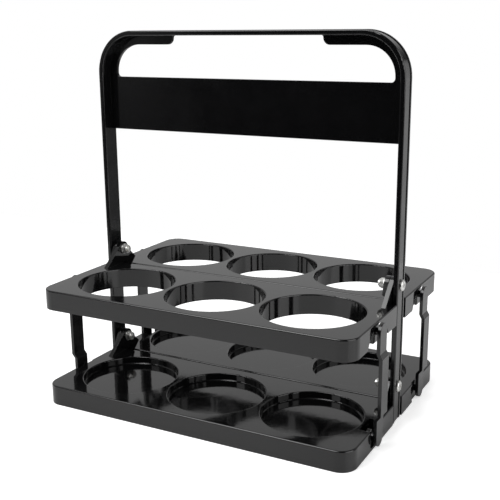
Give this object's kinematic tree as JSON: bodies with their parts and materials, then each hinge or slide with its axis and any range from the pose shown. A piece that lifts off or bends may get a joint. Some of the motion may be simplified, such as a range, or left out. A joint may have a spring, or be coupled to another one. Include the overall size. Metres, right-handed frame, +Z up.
{
  "type": "six pack carrier",
  "caption": "Folding bottle carrier: two split decks with round places, hinged on a tall bail handle with a cross panel and tied by end links.",
  "frame": {"origin": "middle of the footprint, on the floor", "axes": "+X along the rows of three to the right end, +Y to the rear, +Z up"},
  "size_m": [0.3132, 0.22, 0.332],
  "materials": {
    "handle": "satin black moulding",
    "deck": "polished black moulding",
    "link": "satin black moulding",
    "steel": "zinc plated"
  },
  "bodies": {
    "handle": {"handle_frame": "handle", "hinge_screw_upper_left": "steel", "hinge_screw_upper_right": "steel", "hinge_screw_lower_left": "steel", "hinge_screw_lower_right": "steel", "hinge_washer_upper_left": "steel", "hinge_washer_upper_right": "steel", "hinge_washer_lower_left": "steel", "hinge_washer_lower_right": "steel", "hinge_nut_upper_left": "steel", "hinge_nut_upper_right": "steel", "hinge_nut_lower_left": "steel", "hinge_nut_lower_right": "steel"},
    "upper_front": {"upper_tray_front": "deck"},
    "upper_rear": {"upper_tray_rear": "deck"},
    "lower_front": {"lower_tray_front": "deck"},
    "lower_rear": {"lower_tray_rear": "deck"},
    "front_left_link": {"link_front_left": "link"},
    "front_right_link": {"link_front_right": "link"},
    "rear_left_link": {"link_rear_left": "link"},
    "rear_right_link": {"link_rear_right": "link"}
  },
  "joints": [
    {"name": "upper_front_fold", "type": "hinge", "parent": "handle", "child": "upper_front", "pos_m": [0, 0, 0.123], "axis": [-1, 0, 0], "range_deg": [0, 75]},
    {"name": "lower_front_fold", "type": "hinge", "parent": "handle", "child": "lower_front", "pos_m": [0, 0, 0.032], "axis": [-1, 0, 0], "range_deg": [0, 75]},
    {"name": "front_left_link_swing", "type": "hinge", "parent": "upper_front", "child": "front_left_link", "pos_m": [-0.1525, -0.0555, 0.1], "axis": [1, 0, 0], "range_deg": [0, 75]},
    {"name": "front_right_link_swing", "type": "hinge", "parent": "upper_front", "child": "front_right_link", "pos_m": [0.1525, -0.0555, 0.1], "axis": [1, 0, 0], "range_deg": [0, 75]},
    {"name": "upper_rear_fold", "type": "hinge", "parent": "handle", "child": "upper_rear", "pos_m": [0, 0, 0.123], "axis": [1, 0, 0], "range_deg": [0, 75]},
    {"name": "lower_rear_fold", "type": "hinge", "parent": "handle", "child": "lower_rear", "pos_m": [0, 0, 0.032], "axis": [1, 0, 0], "range_deg": [0, 75]},
    {"name": "rear_left_link_swing", "type": "hinge", "parent": "upper_rear", "child": "rear_left_link", "pos_m": [-0.1525, 0.0555, 0.1], "axis": [-1, 0, 0], "range_deg": [0, 75]},
    {"name": "rear_right_link_swing", "type": "hinge", "parent": "upper_rear", "child": "rear_right_link", "pos_m": [0.1525, 0.0555, 0.1], "axis": [-1, 0, 0], "range_deg": [0, 75]}
  ],
  "couplings": [
    {"joint": "lower_front_fold", "follows": "upper_front_fold", "ratio": 1},
    {"joint": "front_left_link_swing", "follows": "upper_front_fold", "ratio": 1},
    {"joint": "front_right_link_swing", "follows": "upper_front_fold", "ratio": 1},
    {"joint": "lower_rear_fold", "follows": "upper_rear_fold", "ratio": 1},
    {"joint": "rear_left_link_swing", "follows": "upper_rear_fold", "ratio": 1},
    {"joint": "rear_right_link_swing", "follows": "upper_rear_fold", "ratio": 1}
  ]
}
